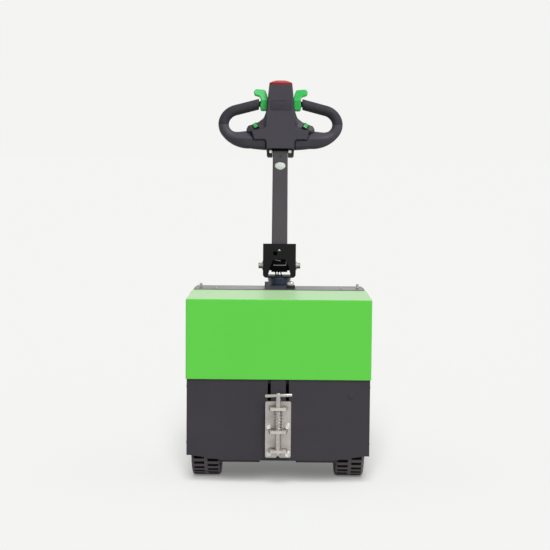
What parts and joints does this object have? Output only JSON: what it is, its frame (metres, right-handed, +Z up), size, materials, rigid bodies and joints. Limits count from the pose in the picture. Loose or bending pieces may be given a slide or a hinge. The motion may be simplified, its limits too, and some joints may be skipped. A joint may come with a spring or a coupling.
{
  "type": "pedestrian electric tow tug",
  "caption": "Walk-behind electric tow tug: boxy hooded chassis on drive wheels, steered castor, tilting tiller with looped grips, spring-pin tow coupling in front.",
  "frame": {"origin": "on the floor, at the middle of the bounding box of the whole tug", "axes": "+Z up, -Y towards the towing coupling (front), +Y towards the operator, +X to the right when seen from the coupling"},
  "size_m": [0.521, 0.587, 1.1618],
  "materials": {
    "base_paint": "semi-gloss black coating",
    "chassis_paint": "fine-texture charcoal powder coat",
    "hood_paint": "satin bright green powder coat",
    "deck_paint": "fine-texture charcoal powder coat",
    "zinc_steel": "zinc plated",
    "bright_steel": "bright turned steel",
    "spring_steel": "bright drawn wire",
    "black_rubber": "matt black rubber",
    "battery_case": "matt black polypropylene",
    "drive_casting": "painted casting",
    "tyre_rubber": "black tyre rubber",
    "rim_paint": "silver painted pressed steel",
    "column_paint": "dark blue-grey satin paint",
    "bracket_paint": "satin black powder coat",
    "black_plastic": "moulded black plastic",
    "castor_rubber": "dark grey elastic rubber",
    "hub_casting": "die-cast aluminium",
    "tube_paint": "charcoal powder coat",
    "head_plastic": "fine-grained charcoal moulding",
    "red_plastic": "glossy red moulding",
    "grip_rubber": "soft-touch dark grip",
    "green_plastic": "glossy green moulding"
  },
  "bodies": {
    "chassis": {"base_plate": "base_paint", "front_panel": "chassis_paint", "left_side_panel": "chassis_paint", "right_side_panel": "chassis_paint", "rear_panel": "chassis_paint", "left_wheel_well": "base_paint", "right_wheel_well": "base_paint", "hood": "hood_paint", "deck_plate": "deck_paint", "deck_buffers": "black_rubber", "battery": "battery_case", "drive_unit": "drive_casting", "headstock": "chassis_paint", "coupling_plate": "zinc_steel", "coupling_lugs": "zinc_steel"},
    "left_wheel": {"left_tyre": "tyre_rubber", "left_rim": "rim_paint"},
    "right_wheel": {"right_tyre": "tyre_rubber", "right_rim": "rim_paint"},
    "steering": {"steering_column": "column_paint", "tiller_bracket": "bracket_paint", "pivot_pin": "bright_steel", "switch_block": "black_plastic", "castor_fork": "zinc_steel", "castor_axle": "bright_steel"},
    "castor_wheel": {"castor_tyre": "castor_rubber", "castor_hub": "hub_casting"},
    "tiller": {"tiller_tube": "tube_paint", "tiller_bushes": "black_plastic", "head_housing": "head_plastic", "head_cover": "head_plastic", "head_ears": "head_plastic", "belly_button": "red_plastic", "left_handle": "grip_rubber", "right_handle": "grip_rubber", "left_throttle": "green_plastic", "right_throttle": "green_plastic", "left_wing_button": "green_plastic", "right_wing_button": "green_plastic"},
    "towing_pin": {"coupling_pin": "bright_steel", "grip_bar": "bright_steel", "pin_spring": "spring_steel"}
  },
  "joints": [
    {"name": "left_wheel_spin", "type": "hinge", "parent": "chassis", "child": "left_wheel", "pos_m": [-0.205, -0.0975, 0.13], "axis": [1, 0, 0], "continuous": true},
    {"name": "right_wheel_spin", "type": "hinge", "parent": "chassis", "child": "right_wheel", "pos_m": [0.205, -0.0975, 0.13], "axis": [1, 0, 0], "continuous": true},
    {"name": "steering", "type": "hinge", "parent": "chassis", "child": "steering", "pos_m": [0, 0.1935, 0.53], "axis": [0, 0, 1], "range_deg": [-90, 90]},
    {"name": "castor_spin", "type": "hinge", "parent": "steering", "child": "castor_wheel", "pos_m": [0, 0.1935, 0.1], "axis": [1, 0, 0], "continuous": true},
    {"name": "tiller_tilt", "type": "hinge", "parent": "steering", "child": "tiller", "pos_m": [0, 0.1935, 0.589], "axis": [-1, 0, 0], "range_deg": [0, 70], "stiffness_Nm_per_rad": 12, "springref_deg": -34.38},
    {"name": "pin_lift", "type": "slide", "parent": "chassis", "child": "towing_pin", "axis": [0, 0, 1], "range_m": [0, 0.034], "stiffness_N_per_m": 800, "springref_m": -0.01, "deforming": ["pin_spring"]}
  ]
}
